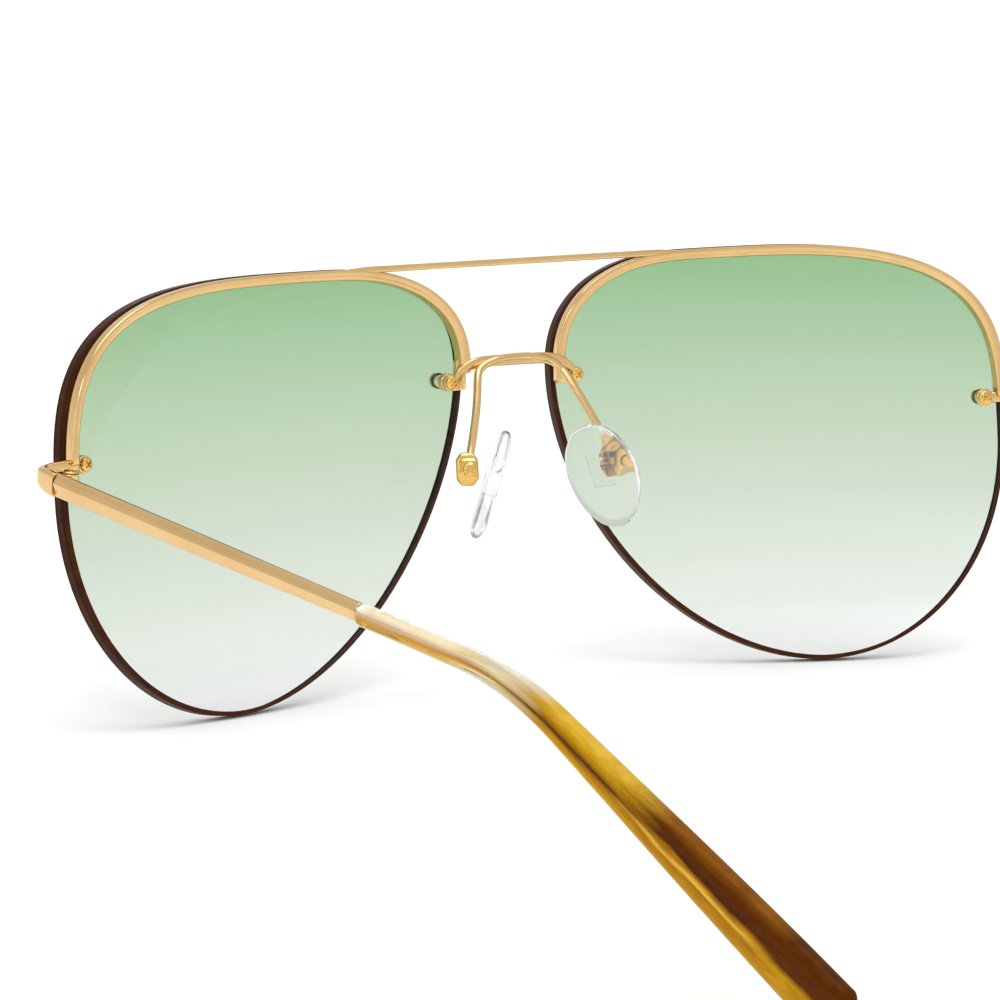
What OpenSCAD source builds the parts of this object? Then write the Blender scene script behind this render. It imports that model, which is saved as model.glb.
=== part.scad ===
// Aviator sunglasses: half-rim metal frame, tinted lenses screwed on, acetate tips.
// The part stands open on a table, on its lens bottoms and temple tips. Millimetres.
// +X is the wearer's left, +Y runs back along the temples, +Z is up.

/* [Lenses] */
// Lens width
lens_w = 62; // [58:0.5:64]
// Lens height
lens_h = 52; // [48:0.5:54]
// Distance between the two lenses
bridge_gap = 14; // [12:0.5:18]
// Thickness of a lens
lens_t = 2; // [1.6:0.1:2.4]
// Radius of a lens's rear face, a base 4 curve
lens_r = 132; // [120:1:160]
// Turn of each lens back towards the temple
wrap = 9; // [6:0.5:12]

/* [Frame wire] */
// Width of the half rim wire, seen from the front
rim_w = 1.3; // [1:0.1:1.6]
// Depth of the half rim wire, front to back
rim_d = 1.5; // [1:0.1:1.8]
// How far the half rim stands in from the lens edge
rim_inset = 0.1; // [0.1:0.1:1]
// Height of the straight brow bar
brow_h = 0.8; // [0.6:0.1:1.2]
// Diameter of the nose pad wire
pad_wire_d = 1; // [0.8:0.1:1.2]

/* [Temples] */
// Slope of a temple down from the front's normal
slope = 14.5; // [10:0.5:16]
// Turn of an open temple in towards the head
toe = 5.5; // [3:0.5:7]
// Length of the metal temple in front of its tip
metal_len = 58; // [54:1:66]
// Length from hinge pin to tip end, along the temple
temple_len = 147; // [138:1:150]
// Bend of the temple behind the ear
ear_bend = 20; // [14:1:24]
// Height of the metal temple at the hinge
temple_h = 2.8; // [2.4:0.1:3.2]
// Thickness of the metal temple
temple_t = 1.2; // [1:0.1:1.4]
// Height of the acetate tip at its far end
tip_h = 6.9; // [5:0.1:7.5]

/* [Nose pads] */
// Length of a nose pad
pad_len = 13.6; // [12:0.1:15]
// Width of a nose pad
pad_w = 9.4; // [7:0.1:10]
// Thickness of a nose pad
pad_t = 2.2; // [1.8:0.1:2.4]

/* [Stance] */
// Forward lean of the front as it stands on a table
lean = 11.6; // [8:0.05:12]

/* [Hidden] */

GOLD = [0.84, 0.66, 0.38];
BROWN = [0.35, 0.2, 0.08];
GREEN = [0.66, 0.8, 0.64, 0.6];
CLEAR = [0.9, 0.93, 0.92, 0.6];
AMBER = [0.78, 0.55, 0.16];

// Where the part stands: shift back and lift of the front's own origin
stand_shift = -74.3;
stand_lift = 25.16;

// Lens outline: four quarter curves that meet at the top, the bottom and the two sides
top_u = -11;       // where the outline is highest, from the lens centre towards the temple
bottom_u = 5.6;    // where it is lowest
temporal_v = 1.1;  // where it is widest towards the temple, up from the centre
nasal_v = 12.4;    // where it is widest towards the nose
corner = [3.3, 2.35, 1.8, 2.05];  // squareness: top outer, top inner, bottom inner, bottom outer
outline_steps = 120;
lens_cx = lens_w / 2 * cos(wrap) + bridge_gap / 2;

// Lens screws: each holds the lens between a front nut and a rear tab
temporal_uv = [28.4, 5.2];
nasal_uv = [-28.5, 11.6];
washer_t = 0.2;
tab_t = 0.9;
tab_r = 1.1;
strip_t = 0.6;     // end of the bridge, laid on the nasal tab
lens_screw_r = 0.5;
lens_hole_r = 0.8;
head_r = 0.85;
head_t = 0.5;
nut_r = 1;
nut_t = 1;
eyelet_top = washer_t + tab_t + strip_t + 0.05;
fit = 0.03;        // radial clearance of pins and screws
seam = 0.05;       // clearance between parts that are brazed or clamped

// Bridge: half its width between screws, where its front face is, and its thickness
bridge_x = 9;
bridge_y = 0.55;
bridge_t = 0.8;

// Half rim: from the temporal tab over the top to the nasal tab
rim_from = 7.3;
rim_to = 180;
rim_gap = 0.15;

// Hinge pin of the left temple, in the front's frame
hinge_pos = [69.5, 13, 3.2];
knuckle_r = 1.1;
knuckle_h = 0.8;
knuckle_gap = 0.1;
pin_r = 0.5;
joint_gap = 0.12;  // between the end piece and the temple, when open
bar_x = knuckle_r + 0.1;
bar_c = bar_x + temple_t / 2;

// End piece: strip out from the lens screw, round corner post, return to the hinge
strip_len = 6.2;
corner_pos = [71, 10.3, 2.6];
return_len = 2.7;

// Tip: straight, then an arc behind the ear, then straight
bend_from = 77;
bend_r = 50;
bend_len = bend_r * ear_bend * PI / 180;
tip_rings = 26;
tip_sides = 16;
core_end = 126;

// Nose pads: box on the pad wire, pad turned to face the side of the nose
box_pos = [10.4, 6.1, 1.1];
pad_pos = [8.15, 7, -0.9];
pad_face = 32;
pad_splay = 20;
pad_pitch = 5;
box_size = [2.7, 2.6, 4.1];
box_shift = 0.35;    // the box reaches further on the side away from the pad
slot_w = 1.3;
pad_screw_r = 0.5;

// ---------- outlines and paths ----------

// Point of the lens outline at angle a, 0 at the temple side, 90 at the top
function lens_point(a) =
    let (q = floor(a / 90) % 4,
         cu = q < 2 ? top_u : bottom_u,
         cv = q == 0 || q == 3 ? temporal_v : nasal_v,
         au = q == 0 || q == 3 ? lens_w / 2 - cu : lens_w / 2 + cu,
         av = q < 2 ? lens_h / 2 - cv : lens_h / 2 + cv,
         n = corner[q],
         r = pow(pow(abs(cos(a)) / au, n) + pow(abs(sin(a)) / av, n), -1 / n))
    [cu + r * cos(a), cv + r * sin(a)];

// The same point moved d towards the lens centre
function inset_point(a, d) =
    let (t = lens_point((a + 1) % 360) - lens_point((a + 359) % 360), m = norm(t))
    lens_point(a % 360) + d * [-t.y, t.x] / m;

function rear_depth(p) = lens_r - sqrt(lens_r * lens_r - p.x * p.x - p.y * p.y);

// Place of the temple's centre line at length l: [back, up]
function temple_path(l) =
    l < bend_from ? [l, 0]
    : l < bend_from + bend_len
        ? let (a = (l - bend_from) / bend_r * 180 / PI)
          [bend_from + bend_r * sin(a), bend_r * (cos(a) - 1)]
        : let (m = l - bend_from - bend_len)
          [bend_from + bend_r * sin(ear_bend) + m * cos(ear_bend),
           bend_r * (cos(ear_bend) - 1) - m * sin(ear_bend)];

function temple_turn(l) =
    min(max(l - bend_from, 0) / bend_r * 180 / PI, ear_bend);

// Value that goes from a to b as l goes from l0 to l1, smoothly
function ease(a, b, l, l0, l1) =
    let (f = min(max((l - l0) / (l1 - l0), 0), 1)) a + (b - a) * f * f * (3 - 2 * f);

// Closed tube of the given half sizes around the temple's path
module temple_sweep(lengths, half_t, half_h) {
    n = len(lengths);
    points = [for (i = [0:n - 1]) for (k = [0:tip_sides - 1])
        let (l = lengths[i], p = temple_path(l), b = temple_turn(l),
             a = (k + 0.5) * 360 / tip_sides,
             x = half_t[i] * sign(cos(a)) * pow(abs(cos(a)), 0.6),
             h = half_h[i] * sign(sin(a)) * pow(abs(sin(a)), 0.6))
        [bar_c + x, p.x + h * sin(b), p.y + h * cos(b)]];
    sides = [for (i = [0:n - 2]) for (k = [0:tip_sides - 1])
        let (j = (k + 1) % tip_sides, o = i * tip_sides)
        [o + k, o + j, o + j + tip_sides, o + k + tip_sides]];
    ends = [[for (k = [tip_sides - 1:-1:0]) k],
            [for (k = [0:tip_sides - 1]) (n - 1) * tip_sides + k]];
    polyhedron(points, concat(sides, ends), convexity = 4);
}

// Round wire through the given points
module wire(route, d, sides = 10) {
    n = len(route);
    points = [for (i = [0:n - 1])
        let (t = route[min(i + 1, n - 1)] - route[max(i - 1, 0)], f = t / norm(t),
             e = cross(f, [0, 1, 0]), u = e / norm(e), w = cross(f, u))
        for (k = [0:sides - 1])
            route[i] + d / 2 * (u * cos(k * 360 / sides) + w * sin(k * 360 / sides))];
    faces = concat(
        [for (i = [0:n - 2]) for (k = [0:sides - 1])
            let (j = (k + 1) % sides, o = i * sides) [o + k, o + k + sides, o + j + sides, o + j]],
        [[for (k = [0:sides - 1]) k]],
        [[for (k = [sides - 1:-1:0]) (n - 1) * sides + k]]);
    polyhedron(points, faces, convexity = 6);
}

// ---------- frames ----------

// The front, leaning as it stands
module stand() translate([0, stand_shift, stand_lift]) rotate([lean, 0, 0]) children();

// One side of the part: 1 is the wearer's left, -1 the right
module side(s) stand() mirror([s < 0 ? 1 : 0, 0, 0]) children();

// The lens's own frame: X towards the temple, Z up, rear face at Y = 0
module lens_frame() translate([lens_cx, 0, 0]) rotate([0, 0, wrap]) children();

// A lens screw's frame, square to the rear face, Y pointing back
module mount_frame(p) {
    b = -asin(p.y / lens_r);
    lens_frame() translate([p.x, rear_depth(p), p.y])
        rotate([b, 0, asin(p.x / lens_r / cos(b))]) children();
}

// Frame of the hinge pin, Y along the open temple
module hinge_frame() translate(hinge_pos) rotate([-slope, 0, 0]) rotate([0, 0, toe]) children();

// Frame of a nose pad's screw, Y along the screw
module box_frame() translate(box_pos) rotate([0, 0, -pad_face]) children();

// Disc or tube along Y, from y0 to y1
module along_y(y0, y1, r, fn = 32) translate([0, y1, 0]) rotate([90, 0, 0])
    cylinder(h = y1 - y0, r = r, $fn = fn);

// Cross slot of a screw head that faces +Y at y
module cross_slot(y, r) for (a = [45, 135]) translate([0, y, 0]) rotate([0, a, 0])
    cube([2 * r, 0.4, r / 2.5], center = true);

// ---------- lenses and their fixings ----------

module lens_prism(points) translate([0, 20, 0]) rotate([90, 0, 0]) linear_extrude(40)
    polygon(points);

module lens(s) color(GREEN) side(s) difference() {
    lens_frame() intersection() {
        translate([0, lens_r, 0]) difference() {
            sphere(r = lens_r + lens_t, $fn = 360);
            sphere(r = lens_r, $fn = 360);
        }
        lens_prism([for (i = [0:outline_steps - 1]) lens_point(i * 360 / outline_steps)]);
    }
    for (p = [temporal_uv, nasal_uv]) mount_frame(p) along_y(-4, 2, lens_hole_r);
}

module rim(s) color(GOLD) side(s) lens_frame() intersection() {
    translate([0, lens_r, 0]) difference() {
        sphere(r = lens_r - rim_gap, $fn = 360);
        sphere(r = lens_r - rim_gap - rim_d, $fn = 360);
    }
    lens_prism(concat(
        [for (a = [rim_from:3:rim_to - 1]) inset_point(a, rim_inset)],
        [inset_point(rim_to, rim_inset), inset_point(rim_to, rim_inset + rim_w)],
        [for (a = [rim_to - 3:-3:rim_from]) inset_point(a, rim_inset + rim_w)]));
}

module lens_screw(grip) difference() {
    union() {
        along_y(-lens_t - washer_t - nut_t + 0.3, grip, lens_screw_r);
        along_y(grip, grip + head_t, head_r);
    }
    cross_slot(grip + head_t, head_r);
}

module lens_screws(s) color(GOLD) side(s) {
    mount_frame(temporal_uv) lens_screw(washer_t + tab_t + seam);
    mount_frame(nasal_uv) lens_screw(washer_t + tab_t + strip_t + 2 * seam);
}

// Domed nut on the lens's front
module lens_nuts(s) color(GOLD) side(s) for (p = [temporal_uv, nasal_uv])
    mount_frame(p) difference() {
        intersection() {
            along_y(-lens_t - washer_t - nut_t, -lens_t - washer_t, nut_r);
            translate([0, -lens_t + 0.4, 0]) sphere(r = 1.75, $fn = 48);
        }
        along_y(-lens_t - washer_t - nut_t + 0.25, 0, lens_screw_r + fit);
    }

// Clear sleeve in the lens's hole, with its collar under the nut
module lens_bushings(s) color(CLEAR) side(s) for (p = [temporal_uv, nasal_uv])
    mount_frame(p) difference() {
        union() {
            along_y(-lens_t - washer_t, -lens_t, nut_r);
            along_y(-lens_t - seam, 0, lens_hole_r - fit);
        }
        along_y(-5, 2, lens_screw_r + fit);
    }

module lens_washers(s) color(CLEAR) side(s) for (p = [temporal_uv, nasal_uv])
    mount_frame(p) difference() {
        along_y(0.02, washer_t, nut_r);
        along_y(-1, 2, lens_screw_r + fit);
    }

// ---------- front metalwork ----------

// Tab behind the lens at the nose, up to the end of the bridge; the half rim ends on it
module nasal_tab(s) color(GOLD) side(s) mount_frame(nasal_uv) difference() {
    union() {
        along_y(washer_t, washer_t + tab_t, tab_r);
        translate([-2.4, washer_t, -1]) cube([2.4, tab_t, 1.9]);
        translate([-2.4, washer_t, -1]) cube([1.4, tab_t, 3.7]);
    }
    along_y(-1, 3, lens_screw_r + fit);
}

// Tab at the temple side, running out round the lens edge to the hinge
module end_piece(s) color(GOLD) side(s) difference() {
    union() {
        mount_frame(temporal_uv) {
            along_y(washer_t, washer_t + tab_t, tab_r);
            translate([0, washer_t, 0.1 - tab_r]) cube([strip_len, tab_t, 2 * tab_r - 0.2]);
        }
        translate(corner_pos) cylinder(h = 3.7, r = 1.1, $fn = 48);
        hinge_frame() translate([bar_x, -return_len, -temple_h / 2])
            cube([temple_t, return_len - joint_gap, temple_h]);
    }
    mount_frame(temporal_uv) along_y(-1, 3, lens_screw_r + fit);
}

module brow_bar() color(GOLD) stand() translate([0, 2.1, lens_h / 2 - 0.3])
    cube([2 * 24.5, 0.9, brow_h], center = true);

// Arched bar between the nasal tabs; an eyelet at each end lies on a tab, under the screw
module bridge() color(GOLD) stand() difference() {
    union() {
        translate([0, bridge_y + bridge_t, 0]) rotate([90, 0, 0]) linear_extrude(bridge_t)
            polygon(concat(
                [for (x = [-bridge_x:0.6:bridge_x]) [x, bridge_height(x) + 0.7]],
                [for (x = [bridge_x:-0.6:-bridge_x]) [x, bridge_height(x) - 0.7]]));
        for (s = [0, 1]) mirror([s, 0, 0]) mount_frame(nasal_uv)
            along_y(washer_t + tab_t + seam, eyelet_top, 1);
    }
    for (s = [0, 1]) mirror([s, 0, 0]) mount_frame(nasal_uv) {
        along_y(-1, 5, lens_screw_r + fit);
        along_y(eyelet_top, 5, head_r + 0.1);
    }
}

// Height of the bridge's middle line at x
function bridge_height(x) = 13.8 - 2.1 * pow(abs(x) / bridge_x, 5);

// One wire, brazed along the back of the bridge, that carries both pad boxes
module pad_wire() color(GOLD) stand() {
    half = [
        [0, 1.8, 14.1], [1.8, 1.8, 14.05], [3.6, 1.8, 13.75], [5, 1.85, 13.25],
        [5.9, 2.1, 12.5], [6.4, 2.6, 11.6], [7, 3.3, 10], [7.8, 4.1, 8],
        [8.7, 4.8, 5.8], [9.5, 5.3, 3.8], [10.3, 5.9, 2.3]
    ];
    n = len(half);
    route = concat([for (i = [n - 1:-1:1]) [-half[i].x, half[i].y, half[i].z]], half);
    wire(route, pad_wire_d);
}

// ---------- nose pads ----------

// Open box, slotted for the pad's lug and bored for its screw
module pad_box(s) color(GOLD) side(s) box_frame() difference() {
    translate([box_shift, 0, 0]) hull() {
        cube([box_size.x, box_size.y, box_size.z - 1], center = true);
        cube([box_size.x - 0.8, box_size.y - 0.6, box_size.z], center = true);
    }
    translate([-3, -slot_w / 2, -2.5]) cube([4, slot_w, 3.5]);
    along_y(-3, 3, pad_screw_r + fit, 24);
}

module pad_screw(s) color(GOLD) side(s) box_frame() difference() {
    union() {
        along_y(-1.2, box_size.y / 2 + seam, pad_screw_r, 24);
        along_y(box_size.y / 2 + seam, box_size.y / 2 + 0.45, 0.85, 24);
    }
    cross_slot(box_size.y / 2 + 0.45, 0.85);
}

// Frame of a pad: X is its outer side, away from the nose, Z its length
module pad_frame() translate(pad_pos) rotate([0, 0, -pad_face]) rotate([0, -pad_splay, 0])
    rotate([pad_pitch, 0, 0]) children();

// Lug and the plate that the soft pad is moulded round
module pad_insert(s) color(GOLD) side(s) {
    difference() {
        box_frame() hull() {
            along_y(-0.5, 0.5, 0.85, 24);
            translate([-2.9, -0.5, -0.85]) cube([0.2, 1, 1.7]);
        }
        box_frame() along_y(-2, 2, pad_screw_r + fit, 24);
    }
    pad_frame() translate([0.15, 0, 0.9]) cube([0.5, 3, 4.4], center = true);
}

module pad_oval(scale_by, x0, x1) translate([x0, 0, 0]) rotate([90, 0, 90])
    linear_extrude(x1 - x0) polygon([for (a = [0:10:350])
        scale_by * [pad_w / 2 * cos(a) * (1 + 0.06 * sin(a)), pad_len / 2 * sin(a)]]);

module nose_pad(s) color(CLEAR) side(s) difference() {
    pad_frame() hull() {
        pad_oval(1, -0.45, 0.25);
        pad_oval(0.82, -pad_t / 2, pad_t / 2);
    }
    pad_frame() translate([0.15, 0, 0.9]) cube([0.6, 3.1, 4.5], center = true);
    box_frame() translate([-1.9, 0, 0]) cube([2.4, 1.2, 2.1], center = true);
}

// ---------- hinges ----------

// One knuckle and the block that joins it to the bar beside it, from y0 to y1
module knuckle(z0, z1, y0, y1) translate([0, 0, z0]) difference() {
    union() {
        cylinder(h = z1 - z0, r = knuckle_r, $fn = 48);
        translate([0, y0, 0]) cube([bar_x, y1 - y0, z1 - z0]);
    }
    translate([0, 0, -1]) cylinder(h = z1 - z0 + 2, r = pin_r + fit, $fn = 48);
}

module hinge_front(s) color(GOLD) side(s) hinge_frame() {
    z0 = knuckle_h / 2 + knuckle_gap;
    knuckle(z0, z0 + knuckle_h, -knuckle_r, -joint_gap);
    knuckle(-z0 - knuckle_h, -z0, -knuckle_r, -joint_gap);
}

module hinge_temple(s) color(GOLD) side(s) hinge_frame()
    knuckle(-knuckle_h / 2, knuckle_h / 2, 0, 2);

module hinge_screw(s) color(GOLD) side(s) hinge_frame() {
    top = 1.5 * knuckle_h + knuckle_gap;
    difference() {
        union() {
            translate([0, 0, -top]) cylinder(h = 2 * top + seam, r = pin_r, $fn = 48);
            translate([0, 0, top + seam]) cylinder(h = 0.3, r = 0.8, $fn = 32);
        }
        translate([0, 0, top + 0.35]) cube([1.8, 0.25, 0.4], center = true);
    }
}

// ---------- temples ----------

// Thin slice of the metal temple: a flat bar with a ridge along its outer face
module bar_slice(y, h) translate([0, y, 0]) rotate([90, 0, 0]) linear_extrude(0.01)
    polygon([[bar_x, -h / 2], [bar_c + 0.1, -h / 2], [bar_x + temple_t, 0.1 * h],
             [bar_c + 0.1, h / 2], [bar_x, h / 2]]);

module temple(s) color(GOLD) side(s) hinge_frame() {
    hull() {
        bar_slice(0.02, temple_h);
        bar_slice(metal_len, temple_h - 0.6);
    }
    core = [for (i = [0:12]) metal_len - 0.5 + i * (core_end - metal_len) / 12];
    temple_sweep(core, [for (l = core) ease(0.45, 0.35, l, metal_len, core_end)],
        [for (l = core) ease(0.75, 0.2, l, metal_len, core_end)]);
}

module temple_tip(s) color(AMBER) side(s) hinge_frame() {
    rings = [for (i = [0:tip_rings]) metal_len + seam
        + i * (temple_len - metal_len - seam) / tip_rings];
    core = [for (i = [0:12]) metal_len - 0.5 + i * (core_end + 0.3 - metal_len) / 12];
    difference() {
        temple_sweep(rings,
            [for (l = rings) ease(1.05, 1.6, l, 66, 140) * ease(1, 0.85, l, temple_len - 2.5, temple_len)],
            [for (l = rings) ease(1.25, tip_h / 2, l, 66, temple_len + 2)
                * ease(1, 0.85, l, temple_len - 2.5, temple_len)]);
        temple_sweep(core, [for (l = core) ease(0.5, 0.4, l, metal_len, core_end)],
            [for (l = core) ease(0.8, 0.25, l, metal_len, core_end)]);
    }
}

lens(1);  // lens_left
lens(-1);  // lens_right
rim(1);  // rim_left
rim(-1);  // rim_right
brow_bar();
bridge();
pad_wire();
nasal_tab(1);  // nasal_tab_left
nasal_tab(-1);  // nasal_tab_right
end_piece(1);  // end_piece_left
end_piece(-1);  // end_piece_right
lens_screws(1);  // lens_screws_left
lens_screws(-1);  // lens_screws_right
lens_nuts(1);  // lens_nuts_left
lens_nuts(-1);  // lens_nuts_right
lens_bushings(1);  // lens_bushings_left
lens_bushings(-1);  // lens_bushings_right
lens_washers(1);  // lens_washers_left
lens_washers(-1);  // lens_washers_right
pad_box(1);  // pad_box_left
pad_box(-1);  // pad_box_right
pad_screw(1);  // pad_screw_left
pad_screw(-1);  // pad_screw_right
pad_insert(1);  // pad_insert_left
pad_insert(-1);  // pad_insert_right
nose_pad(1);  // nose_pad_left
nose_pad(-1);  // nose_pad_right
hinge_front(1);  // hinge_front_left
hinge_front(-1);  // hinge_front_right
hinge_screw(1);  // hinge_screw_left
hinge_screw(-1);  // hinge_screw_right
hinge_temple(1);  // hinge_temple_left
hinge_temple(-1);  // hinge_temple_right
temple(1);  // temple_left
temple(-1);  // temple_right
temple_tip(1);  // temple_tip_left
temple_tip(-1);  // temple_tip_right
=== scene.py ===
"""Looks of a pair of half-rim aviator sunglasses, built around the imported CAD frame.

Shapes are worked out in millimetres in the front's own frame, for the wearer's left side,
and place() turns them into metres in the row frame, mirrored for the right side.
"""

import math

import bmesh
import bpy
import numpy as np
from mathutils import Matrix, Vector


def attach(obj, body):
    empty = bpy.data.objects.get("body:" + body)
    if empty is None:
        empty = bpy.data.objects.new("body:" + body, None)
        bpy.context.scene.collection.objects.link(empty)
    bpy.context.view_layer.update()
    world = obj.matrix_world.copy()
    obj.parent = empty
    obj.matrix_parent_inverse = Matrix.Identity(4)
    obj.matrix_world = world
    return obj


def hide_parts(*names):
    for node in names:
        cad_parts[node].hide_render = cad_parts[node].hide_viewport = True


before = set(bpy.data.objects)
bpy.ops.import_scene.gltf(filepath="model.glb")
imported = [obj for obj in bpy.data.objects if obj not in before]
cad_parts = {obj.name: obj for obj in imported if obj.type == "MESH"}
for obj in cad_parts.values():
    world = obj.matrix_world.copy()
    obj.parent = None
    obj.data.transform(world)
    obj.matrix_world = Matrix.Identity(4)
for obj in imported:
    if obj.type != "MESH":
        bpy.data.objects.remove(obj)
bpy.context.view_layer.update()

MM = 0.001
LEFT = 1
RIGHT = -1
SIDES = {"left": LEFT, "right": RIGHT}

# Stance: the front leans forward on its lens bottoms
LEAN = 11.6
STAND_SHIFT = -74.3
STAND_LIFT = 25.16

# Lenses
LENS_W = 62
LENS_H = 52
BRIDGE_GAP = 14
LENS_T = 2
LENS_R = 132
WRAP = 9
TOP_U = -11
BOTTOM_U = 5.6
TEMPORAL_V = 1.1
NASAL_V = 12.4
CORNER = (3.3, 2.35, 1.8, 2.05)
LENS_CX = LENS_W / 2 * math.cos(math.radians(WRAP)) + BRIDGE_GAP / 2
BEVEL_W = 0.55
BEVEL_D = 0.35
FRONT_BEVEL = 0.12
TINT_TOP = 0.0515
# Depths of the middle band of the edge wall that stays brown as a painted highlight line; the wall beyond it
# gets painted shade
HIGHLIGHT_BAND_FROM = 0.8
HIGHLIGHT_BAND_TO = LENS_T - 0.4
LENS_MIDDLE = (0, 3)

# Lens screws
TEMPORAL_UV = (28.4, 5.2)
NASAL_UV = (-28.5, 11.6)
WASHER_T = 0.2
TAB_T = 0.9
TAB_R = 1.1
STRIP_T = 0.6
SCREW_R = 0.5
HOLE_R = 0.8
HEAD_R = 0.85
HEAD_T = 0.5
NUT_R = 1
NUT_T = 1
RECESS = 0.62
SEAM = 0.05
FIT = 0.03
OVERLAP = 0.02

# Half rim
RIM_FROM = 7.3
RIM_TO = 180
RIM_INSET = 0.1
RIM_W = 1.3
RIM_GAP = 0.15
RIM_D = 1.5
RIM_ROUND = 0.3
RIM_TAIL = 1.8

# Brow bar, bridge and pad wire
BROW_HALF = 24.5
BROW_Y = 2.1
BROW_Z = LENS_H / 2 - 0.3
BROW_T = 0.9
BROW_H = 0.8
BROW_TAPER = 4
BRIDGE_X = 9
BRIDGE_BAR = 8.7
BRIDGE_TOP = 13.8
BRIDGE_FALL = 2.1
BRIDGE_Y = 0.95
BRIDGE_T = 0.8
BRIDGE_H = 1.4
BRIDGE_END_H = 1.1
BRIDGE_EYELET_R = 1
WIRE_R = 0.5
WIRE_ROUTE = ((0, 1.8, 14.1), (1.8, 1.8, 14.05), (3.6, 1.8, 13.75), (5, 1.85, 13.25), (5.9, 2.1, 12.5),
              (6.4, 2.6, 11.6), (7, 3.3, 10), (7.8, 4.1, 8), (8.7, 4.8, 5.8), (9.5, 5.3, 3.8),
              (10.3, 5.9, 2.3))

# End piece
STRAP_LEN = 2.6
STRAP_H = 1.4
ELBOW = ((71.6, 9.5, 5), (71.8, 9.5, 4.5))

# Hinge and temple
HINGE_POS = (69.5, 13, 3.2)
SLOPE = 14.5
TOE = 5.5
KNUCKLE_R = 1.1
KNUCKLE_H = 0.8
KNUCKLE_GAP = 0.1
LEAF_LEN = 2
PIN_R = 0.5
PIN_HEAD_R = 0.8
PIN_HEAD_T = 0.3
JOINT_GAP = 0.12
TEMPLE_T = 1.2
TEMPLE_H = 2.8
BAR_X = KNUCKLE_R + 0.1
BAR_C = BAR_X + TEMPLE_T / 2
BAR_TAPER = 0.6
METAL_LEN = 58
TEMPLE_LEN = 147
EAR_BEND = 20
BEND_FROM = 77
BEND_R = 50
BEND_LEN = math.radians(EAR_BEND) * BEND_R
TIP_FROM = 66
TIP_START_H = 2.5
TIP_H = 6.9
TIP_START_T = 2.1
TIP_T = 3.2
TIP_THICK_AT = 140
TIP_ROUND = 1.3
CORE_END = 126
CORE_POINT = 6
CORE_HALF_T = 0.35
CORE_HALF_H = 0.42
CORE_END_HALF_H = 0.25
CORE_DROP = 0.25

# Nose pads
BOX_POS = (10.4, 6.1, 1.1)
BOX_SIZE = (2.7, 2.6, 4.1)
BOX_SHIFT = 0.35
BOX_BEVEL = (0.6, 0.4, 0.9)
SLOT_W = 1.3
PAD_POS = (8.15, 7, -0.9)
PAD_FACE = 32
PAD_SPLAY = 20
PAD_PITCH = 5
PAD_LEN = 13.6
PAD_W = 9.4
PAD_T = 2.2
PAD_SCREW_R = 0.5
PAD_HEAD_R = 0.85
PAD_HEAD_T = 0.4
LUG_R = 0.85
LUG_T = 1
LUG_END = (-2.9, -2.7)
PLATE_X = (-0.1, 0.4)
PLATE_Y = (-1.5, 1.5)
PLATE_Z = (-1.3, 3.1)

# Camera, in the front's own frame
VIEW_YAW = 32.5
VIEW_PITCH = 2.08
VIEW_ROLL = -3.24
VIEW_AIM = (2.51, 0, -3.16)
VIEW_DISTANCE = 930.9
VIEW_LENS = 275.8


# ---------- frames ----------

def shift(x, y, z):
    """Matrix that moves by x, y, z."""
    m = np.eye(4)
    m[:3, 3] = (x, y, z)
    return m


def turn(axis, degrees):
    """Matrix that turns about one axis."""
    c, s = math.cos(math.radians(degrees)), math.sin(math.radians(degrees))
    m = np.eye(4)
    i, j = {"X": (1, 2), "Y": (2, 0), "Z": (0, 1)}[axis]
    m[i, i] = m[j, j] = c
    m[i, j], m[j, i] = -s, s
    return m


STAND = shift(0, STAND_SHIFT, STAND_LIFT) @ turn("X", LEAN)
LENS_FRAME = shift(LENS_CX, 0, 0) @ turn("Z", WRAP)
HINGE_FRAME = shift(*HINGE_POS) @ turn("X", -SLOPE) @ turn("Z", TOE)
BOX_FRAME = shift(*BOX_POS) @ turn("Z", -PAD_FACE)
PAD_FRAME = shift(*PAD_POS) @ turn("Z", -PAD_FACE) @ turn("Y", -PAD_SPLAY) @ turn("X", PAD_PITCH)


def rear_depth(u, v, inset=0.0):
    """Depth of the lens's rear sphere at u, v, or of one that lies inset behind it."""
    return LENS_R - math.sqrt((LENS_R - inset) ** 2 - u * u - v * v)


def mount_frame(uv):
    """Frame square to the lens's rear face at a screw, Y pointing back."""
    tilt = -math.asin(uv[1] / LENS_R)
    swing = math.asin(uv[0] / LENS_R / math.cos(tilt))
    at = shift(uv[0], rear_depth(*uv), uv[1])
    return LENS_FRAME @ at @ turn("Z", math.degrees(swing)) @ turn("X", math.degrees(tilt))


TEMPORAL_MOUNT = mount_frame(TEMPORAL_UV)
NASAL_MOUNT = mount_frame(NASAL_UV)


def apply(matrix, points):
    """Points moved by a matrix."""
    points = np.asarray(points, float)
    return points @ matrix[:3, :3].T + matrix[:3, 3]


# ---------- outlines and paths ----------

def lens_point(a):
    """Point of the lens outline at angle a, 0 at the temple side, 90 at the top."""
    a %= 360
    q = int(a // 90)
    cu = TOP_U if q < 2 else BOTTOM_U
    cv = TEMPORAL_V if q in (0, 3) else NASAL_V
    au = LENS_W / 2 - cu if q in (0, 3) else LENS_W / 2 + cu
    av = LENS_H / 2 - cv if q < 2 else LENS_H / 2 + cv
    n = CORNER[q]
    c, s = math.cos(math.radians(a)), math.sin(math.radians(a))
    r = ((abs(c) / au) ** n + (abs(s) / av) ** n) ** (-1 / n)
    return np.array([cu + r * c, cv + r * s])


def inset_point(a, d):
    """The same point moved d towards the lens centre."""
    t = lens_point(a + 1) - lens_point(a - 1)
    return lens_point(a) + d * np.array([-t[1], t[0]]) / np.linalg.norm(t)


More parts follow.
